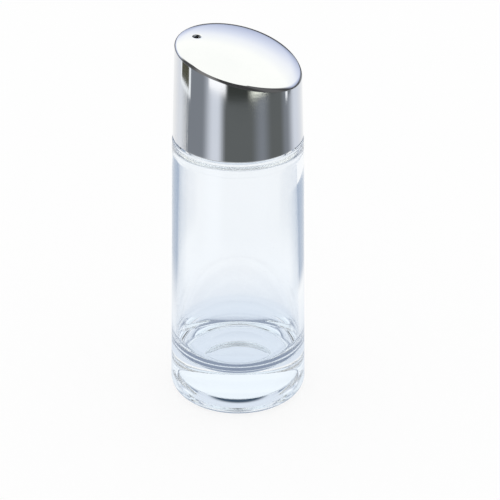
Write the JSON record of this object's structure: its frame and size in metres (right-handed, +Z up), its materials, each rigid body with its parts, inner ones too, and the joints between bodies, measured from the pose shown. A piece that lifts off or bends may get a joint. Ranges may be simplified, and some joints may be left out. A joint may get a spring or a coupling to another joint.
{
  "type": "salt pot",
  "caption": "Slim tapering glass bottle with a thick clear base and a screw-on polished steel cap, whose curved top slopes down from a single pouring hole.",
  "frame": {"origin": "middle of the ring that the bottle stands on", "axes": "+Z up along the bottle's axis; the cap slopes down towards +X and its hole is towards -X"},
  "size_m": [0.033, 0.033, 0.092],
  "materials": {
    "clear_glass": "clear, fire polished, very slightly blue",
    "polished_steel": "bright polished stainless steel, faint turning lines on the skirt",
    "moulded_collar": "moulded white plastic, satin",
    "soft_seal": "soft translucent grey, matt"
  },
  "bodies": {
    "bottle": {"glass_bottle": "clear_glass"},
    "seal": {"seal_ring": "soft_seal"},
    "cap": {"cap_shell": "polished_steel", "threaded_collar": "moulded_collar"}
  },
  "joints": [
    {"name": "cap_rise", "type": "slide", "parent": "bottle", "child": "seal", "axis": [0, 0, 1], "range_m": [0, 0.012]},
    {"name": "cap_turn", "type": "hinge", "parent": "seal", "child": "cap", "pos_m": [0, 0, 0.08], "axis": [0, 0, 1], "range_deg": [0, 1080]}
  ],
  "couplings": [
    {"joint": "cap_rise", "follows": "cap_turn", "m_per_rad": 0.00063661}
  ]
}
